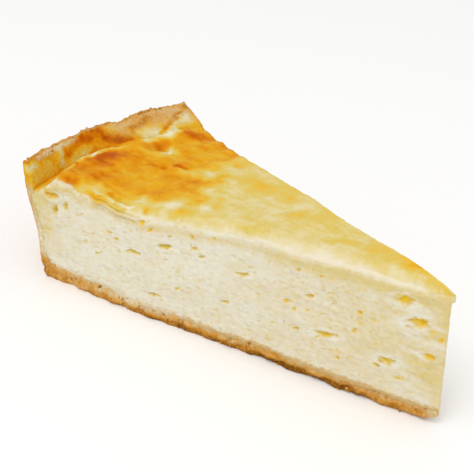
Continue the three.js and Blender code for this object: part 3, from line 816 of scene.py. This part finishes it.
def pastry_mesh(spacing=0.42, layers=10, across_columns=136):
    """The shell's shape: two cuts, outside, inside and crest. Also the number of points on the cuts.

    Under the base, straight strips join the two cuts; from the bend upwards a full grid does.
    """
    shape = Shape()
    shares = arc_shares(spacing)
    across = np.linspace(-1, 1, across_columns + 1)
    profile = shell_profile(shares, across)
    bend = int(np.argmax(profile[:, 0, 0, 0] > 112))
    w = np.linspace(0, 1, layers + 1)
    up = shares[:, None]

    def cut(column):
        outside, inside = profile[:, column, 0, :, None], profile[:, column, 1, :, None]
        radius, height = np.moveaxis(lerp(outside, inside, w), 1, 0)
        return shape.add(radius, across[column], height, up, w)

    front, back = cut(0), cut(-1)
    shape.quads(front, flip=True)
    shape.quads(back)
    cut_count = shape.count
    surfaces = []
    for side in (0, 1):
        part = profile[bend:, 1:-1, side]
        inner = shape.add(part[..., 0], across[1:-1], part[..., 1], up[bend:], side)
        grid = np.hstack([front[bend:, -side, None], inner, back[bend:, -side, None]])
        surfaces.append(grid)
        shape.quads(grid, flip=side == 1)
        shape.quads(np.stack([front[:bend, -side], back[:bend, -side]], 1), flip=side == 1)
        shape.polygon([front[bend - 1, -side], *grid[0], back[bend - 1, -side]], flip=side == 1)
    top = lerp(profile[-1, 1:-1, 0, :, None], profile[-1, 1:-1, 1, :, None], w[1:-1])
    crest = shape.add(top[:, 0], across[1:-1, None], top[:, 1], 1.0, w[1:-1])
    crest = np.hstack([surfaces[0][-1, 1:-1, None], crest, surfaces[1][-1, 1:-1, None]])
    shape.quads(np.vstack([front[-1], crest, back[-1]]), flip=True)
    shape.quads(np.stack([front[0], back[0]], 1), flip=True)
    return shape, cut_count


def cut_baking(radius, height, depth, coarse, in_base):
    """How well baked the cut pastry is: brown at the outside and underneath, paler inside."""
    skinward = falloff(depth, 0, 0.3)
    wall = 0.17 + 0.34 * skinward + 0.2 * smoothstep(height, 14, 28)
    middle = lerp(0.9, 0.34, smoothstep(depth + 0.25 * coarse, 0.2, 0.85))
    ends = 0.62 + 0.14 * skinward - 0.14 * smoothstep(depth, 0.4, 1)
    base = lerp(middle, ends, smoothstep(radius, 96, 112) + 1 - smoothstep(radius, 8, 32))
    base += 0.16 * bell(radius - 38, 18) - 0.14 * bell(radius - 98, 16) - 0.35 * falloff(radius, 1, 4)
    return lerp(wall, base + 0.2 * coarse, in_base)


def build_pastry(material):
    shape, cut_count = pastry_mesh()
    radius, across, height, share, depth = shape.coordinates()
    x, y = plan(radius, across)
    xyz = np.stack([x, y, height], 1)
    shift = knife_shift_both(radius, height, across) * np.abs(across) ** 24
    xyz[:, 0] += shift * math.sin(HALF_ANGLE)
    xyz[:, 1] += shift * math.cos(HALF_ANGLE) * np.sign(across)

    # Crumb: the broken cut of the base is roughest, the baked outside is smoother
    is_cut = np.arange(shape.count) < cut_count
    is_lip = (depth > 0.99) & (share > LIP_FOOT_SHARE - 0.02)
    in_base = falloff(height, 6, 9)
    near_crest = smoothstep(share, 0.955, 1)
    roughness = np.where(is_cut, lerp(0.35, 1.0, in_base), 0.5)
    roughness = np.maximum(roughness, 1.1 * near_crest)
    coarse = layered_noise(*xyz.T, 2.6, 101, 3)
    fine = layered_noise(*xyz.T, 1.1, 111, 2)
    move = roughness * (0.26 * coarse + 0.15 * fine)
    move += np.where(is_lip, strokes(tuple(xyz.T), RIM_STROKES), 0)
    xyz += point_normals(xyz, shape.faces) * move[:, None]

    # The crest is ragged, and the base's lower front edge is worn towards the tip
    ragged = 0.3 * noise(0, y, 0, 3.4, 131) + 0.22 * noise(0, y, depth, 1.3, 132) - 0.42
    worn = falloff(across, -1, -0.9) * falloff(height, 0.6, 2.4)
    xyz[:, 2] += near_crest * ragged + 0.4 * worn * bell(radius - 28, 26)
    xyz[:, 2] = np.maximum(xyz[:, 2], 0)

    # Baking: the lip takes on the skin's colours, and its crest is bare pastry in the front half
    baked = np.where(is_cut, cut_baking(radius, height, depth, coarse, in_base), 0.6)
    baked = np.where(is_lip, 0.44 + tone_patches(*xyz.T), baked)
    baked += 0.02 * near_crest * falloff(depth, 0, 0.8)
    bare_crest = smoothstep(share + 0.006 * coarse, 0.972, 0.984)
    bare_crest *= smoothstep(across, -0.93, -0.84) * falloff(across, -0.4, -0.3)
    baked = lerp(baked, 0.22 + 0.1 * coarse, bare_crest * is_lip)
    baked += 0.12 * layered_noise(*xyz.T, 6, 121, 3) + 0.08 * fine
    up_lip = (share - LIP_FOOT_SHARE) / (1 - LIP_FOOT_SHARE) + 0.35 * coarse
    glazed = lerp(1, falloff(up_lip, 0.1, 0.6), smoothstep(across, -0.12, 0.25))
    glazed *= 1 - 0.9 * bare_crest
    fields = {
        "baked": np.clip(baked, 0, 1),
        "glaze": np.where(is_lip, glazed, is_cut * smoothstep(height, 29, 31.5)),
        "browning_and_painted_light": browning_and_painted_light(*xyz.T, across),
    }
    return make_piece("shortcrust", xyz, shape.faces, fields, material, "pastry_shell")


def crumb_form():
    """Points and triangles of a rough round crumb: a once-divided icosahedron."""
    golden = (1 + 5**0.5) / 2
    signs = list(itertools.product((-1, 1), repeat=2))
    points = [(a, b * golden, 0) for a, b in signs]
    points += [(0, a, b * golden) for a, b in signs]
    points += [(b * golden, 0, a) for a, b in signs]
    points = np.array(points, float)
    middles = {}
    faces = []
    for a, b, c in itertools.combinations(range(12), 3):
        sides = (points[a] - points[b], points[b] - points[c], points[c] - points[a])
        if max(np.linalg.norm(side) for side in sides) > 2.1:
            continue  # not three neighbours, which lie 2 apart
        if np.dot(np.cross(points[b] - points[a], points[c] - points[a]), points[a]) < 0:
            b, c = c, b
        pairs = [tuple(sorted(pair)) for pair in ((a, b), (b, c), (c, a))]
        ab, bc, ca = (middles.setdefault(pair, 12 + len(middles)) for pair in pairs)
        faces += [(a, ab, ca), (b, bc, ab), (c, ca, bc), (ab, bc, ca)]
    halves = sorted(middles, key=middles.get)
    points = np.vstack([points, [(points[a] + points[b]) / 2 for a, b in halves]])
    return points / np.linalg.norm(points, axis=1, keepdims=True), faces


def build_crumbs(pastry, material):
    """Small crumbs that cling to the cut base and to the rim's crest."""
    random = np.random.default_rng(201)
    points = np.array([v.co for v in pastry.data.vertices])
    points = (points - np.array(CAKE_CENTRE)) * 1000
    x, y, z = points.T
    near_cut = (half_width(x) - np.abs(y)) < 0.6
    on_base = points[near_cut & (z < 4.5) & (x < -2)]
    on_crest = points[(z > RIM_HEIGHT - 1) & (x < -126)]
    form, triangles = crumb_form()
    xyz, faces, tones = [], [], []
    for spots, amount in ((on_base, 230), (on_crest, 60)):
        for spot in spots[random.integers(0, len(spots), amount)]:
            size = 0.2 + 0.4 * random.random() ** 2
            turned, _ = np.linalg.qr(random.normal(size=(3, 3)))
            turned *= np.sign(np.linalg.det(turned))
            lump = form * (1 + 0.2 * random.normal(size=(len(form), 1))) * random.uniform(0.6, 1, 3)
            faces += [tuple(n + len(xyz) * len(form) for n in triangle) for triangle in triangles]
            xyz.append(spot + size * lump @ turned)
            tones += [0.5 + 0.35 * random.random()] * len(form)
    xyz = np.concatenate(xyz)
    xyz[:, 2] = np.maximum(xyz[:, 2], 0)
    none = np.zeros(len(xyz))
    fields = {"baked": tones, "glaze": none, "browning_and_painted_light": none}
    make_piece("crust_crumbs", xyz, faces, fields, material)


# ---- Materials
def srgb(red, green, blue):
    """Linear colour with alpha from 0 to 255 screen values."""
    values = [c / 255 for c in (red, green, blue)]
    return [c / 12.92 if c <= 0.04045 else ((c + 0.055) / 1.055) ** 2.4 for c in values] + [1.0]


class Nodes:
    """Short ways to write a material's node tree."""

    def __init__(self, name):
        self.material = bpy.data.materials.new(name)
        self.material.use_nodes = True
        self.tree = self.material.node_tree
        self.shader = self.tree.nodes["Principled BSDF"]
        self.place = self.tree.nodes.new("ShaderNodeTexCoord").outputs["Object"]

    def link(self, value, socket):
        if isinstance(value, bpy.types.NodeSocket):
            self.tree.links.new(value, socket)
        else:
            socket.default_value = value

    def node(self, kind, **inputs):
        """A new node with its named inputs set or linked."""
        node = self.tree.nodes.new("ShaderNode" + kind)
        for name, value in inputs.items():
            self.link(value, node.inputs[name.replace("_", " ")])
        return node

    def field(self, name):
        node = self.node("Attribute")
        node.attribute_name = name
        return node.outputs["Fac"]

    def stretch(self, x, y, z):
        return self.node("Mapping", Vector=self.place, Scale=(x, y, z)).outputs["Vector"]

    def noise(self, size, detail, vector=None):
        node = self.node("TexNoise", Vector=vector or self.place, Scale=1000 / size, Detail=detail)
        return node.outputs["Fac"]

    def cells(self, size):
        return self.node("TexVoronoi", Vector=self.place, Scale=1000 / size).outputs["Distance"]

    def span(self, value, low, high, out_low=0.0, out_high=1.0):
        limits = {"From_Min": low, "From_Max": high, "To_Min": out_low, "To_Max": out_high}
        node = self.node("MapRange", Value=value, **limits)
        node.interpolation_type = "SMOOTHSTEP"
        return node.outputs["Result"]

    def math(self, operation, a, b):
        node = self.node("Math")
        node.operation = operation
        self.link(a, node.inputs[0])
        self.link(b, node.inputs[1])
        return node.outputs[0]

    def add(self, value, extra, amount, middle=0.0):
        """value + amount * (extra - middle)"""
        if middle:
            extra = self.math("SUBTRACT", extra, middle)
        return self.math("ADD", value, self.math("MULTIPLY", extra, amount))

    def mix(self, share, a, b):
        node = self.node("Mix")
        node.data_type = "RGBA"
        self.link(share, node.inputs["Factor"])
        self.link(a, node.inputs[6])
        self.link(b, node.inputs[7])
        return node.outputs[2]

    def ramp(self, share, stops):
        node = self.node("ValToRGB", Fac=share)
        elements = node.color_ramp.elements
        while len(elements) < len(stops):
            elements.new(0.5)
        for element, (position, colour) in zip(elements, stops):
            element.position = position
            element.color = srgb(*colour)
        return node.outputs["Color"]

    def bump(self, height, distance):
        return self.node("Bump", Height=height, Distance=distance * 0.001).outputs["Normal"]

    def finish(self, colour, roughness, normal, softness, radius_mm):
        """The finished material. Softness and radius are those of the light scattered under its surface."""
        inputs = {
            "Base Color": colour,
            "Roughness": roughness,
            "Normal": normal,
            "Subsurface Weight": softness,
            "Subsurface Radius": (1.0, 0.7, 0.4),
            "Subsurface Scale": radius_mm * 0.001,
            "Specular IOR Level": 0.05,
        }
        for name, value in inputs.items():
            self.link(value, self.shader.inputs[name])
        return self.material


SKIN_STOPS = [
    (0.0, (236, 227, 204)),
    (0.18, (228, 213, 162)),
    (0.34, (222, 197, 104)),
    (0.5, (229, 185, 58)),
    (0.62, (228, 168, 28)),
    (0.76, (221, 142, 6)),
    (0.88, (207, 113, 1)),
    (1.0, (188, 88, 1)),
]
CURD_STOPS = [(0.0, (232, 227, 209)), (0.5, (227, 216, 184)), (1.0, (221, 203, 141))]
PASTRY_STOPS = [
    (0.0, (238, 224, 190)),
    (0.25, (216, 190, 140)),
    (0.45, (216, 168, 96)),
    (0.62, (206, 146, 62)),
    (0.8, (172, 116, 38)),
    (1.0, (122, 78, 20)),
]


def skin_colour(nodes):
    share = nodes.add(nodes.field("browning_and_painted_light"), nodes.noise(1.4, 4.0), 0.2, 0.5)
    share = nodes.add(share, nodes.noise(5.0, 5.0), 0.16, 0.5)
    return nodes.ramp(share, SKIN_STOPS)


def filling_material():
    nodes = Nodes("baked_curd")
    streaks = nodes.noise(1.0, 3.0, nodes.stretch(0.16, 0.16, 1.1))
    warmth = nodes.add(nodes.field("warmth"), nodes.noise(1.5, 5.0), 1.0, 0.5)
    warmth = nodes.add(warmth, streaks, 0.5, 0.5)
    curd = nodes.ramp(warmth, CURD_STOPS)
    specks = nodes.span(nodes.noise(0.9, 3.0, nodes.stretch(0.5, 0.5, 1.2)), 0.48, 0.72, 0.0, 0.34)
    specks = nodes.math("MULTIPLY", specks, nodes.span(nodes.noise(7.0, 3.0), 0.36, 0.64, 0.15, 1.0))
    curd = nodes.mix(specks, curd, srgb(190, 178, 150))
    pinholes = nodes.span(nodes.cells(1.5), 0.1, 0.26, 1.0, 0.0)
    pinholes = nodes.math("MULTIPLY", pinholes, nodes.span(nodes.noise(4.5, 2.0), 0.5, 0.62))
    hole = nodes.math("MAXIMUM", nodes.field("pore"), nodes.math("MULTIPLY", pinholes, 0.45))
    opened = nodes.mix(nodes.field("warmth"), srgb(218, 192, 88), srgb(246, 200, 0))
    curd = nodes.mix(hole, curd, opened)
    curd = nodes.mix(nodes.field("stain"), curd, srgb(208, 172, 112))
    colour = nodes.mix(nodes.field("skin"), curd, skin_colour(nodes))
    roughness = nodes.span(nodes.field("skin"), 0.0, 1.0, 0.62, 0.42)
    height = nodes.add(nodes.noise(0.7, 4.0), pinholes, -0.8)
    return nodes.finish(colour, roughness, nodes.bump(height, 0.2), 0.35, 1.6)


def pastry_material():
    nodes = Nodes("baked_shortcrust")
    share = nodes.add(nodes.field("baked"), nodes.cells(0.9), -0.18, 0.35)
    share = nodes.add(share, nodes.noise(1.0, 5.0), 0.42, 0.5)
    dough = nodes.ramp(share, PASTRY_STOPS)
    colour = nodes.mix(nodes.field("glaze"), dough, skin_colour(nodes))
    height = nodes.math("ADD", nodes.cells(0.8), nodes.noise(0.5, 3.0))
    return nodes.finish(colour, 0.8, nodes.bump(height, 0.22), 0.12, 0.8)


def floor_material():
    nodes = Nodes("floor_paper")
    nodes.link((0.975, 0.975, 0.975, 1), nodes.shader.inputs["Base Color"])
    nodes.link(0.9, nodes.shader.inputs["Roughness"])
    return nodes.material


# ---- Floor, light and camera
def build_floor():
    bpy.ops.mesh.primitive_plane_add(size=6, location=(0, 0, -0.00002))
    floor = bpy.context.object
    floor.name = "floor"
    floor.data.materials.append(floor_material())


KEY_LIGHT = {"place": Vector((0.15, -0.5, 1.15)), "aim": Vector((0, 0, 0.02)), "size": 0.8, "power": 5.5}


def build_lights():
    """A bright, even studio with one soft light above the front cut."""
    world = bpy.data.worlds.new("studio")
    bpy.context.scene.world = world
    world.use_nodes = True
    background = world.node_tree.nodes["Background"]
    background.inputs["Color"].default_value = (1.0, 0.995, 0.985, 1)
    background.inputs["Strength"].default_value = 0.75
    light = bpy.data.lights.new("key", "AREA")
    light.shape = "DISK"
    light.size = KEY_LIGHT["size"]
    light.energy = KEY_LIGHT["power"]
    lamp = bpy.data.objects.new("key", light)
    lamp.location = KEY_LIGHT["place"]
    lamp.rotation_euler = (KEY_LIGHT["aim"] - KEY_LIGHT["place"]).to_track_quat("-Z", "Y").to_euler()
    bpy.context.scene.collection.objects.link(lamp)


# Fitted to the photo: place from the cake's centre in mm, angles in degrees
CAMERA = {"place": (104.204, -172.490, 173.974), "azimuth": 45.345, "elevation": 31.519, "roll": -0.251}
FIELD_OF_VIEW = math.radians(25.564)
SENSOR_WIDTH = 36


def build_camera():
    azimuth, elevation, roll = (math.radians(CAMERA[k]) for k in ("azimuth", "elevation", "roll"))
    level = math.cos(elevation)
    back = Vector((math.sin(azimuth) * level, -math.cos(azimuth) * level, math.sin(elevation)))
    right = Vector((0, 0, 1)).cross(back).normalized()
    up = back.cross(right)
    turned = Matrix.Rotation(-roll, 3, back)
    axes = Matrix((turned @ right, turned @ up, back)).transposed()
    data = bpy.data.cameras.new("camera")
    data.sensor_width = SENSOR_WIDTH
    data.lens = SENSOR_WIDTH / 2 / math.tan(FIELD_OF_VIEW / 2)
    data.clip_start = 0.01
    camera = bpy.data.objects.new("camera", data)
    place = Vector(CAMERA["place"]) * 0.001 + CAKE_CENTRE
    camera.matrix_world = Matrix.Translation(place) @ axes.to_4x4()
    bpy.context.scene.collection.objects.link(camera)
    bpy.context.scene.camera = camera


build_camera()
build_filling(filling_material())
crust = pastry_material()
build_crumbs(build_pastry(crust), crust)
build_floor()
build_lights()
bpy.context.scene.view_settings.view_transform = "Standard"
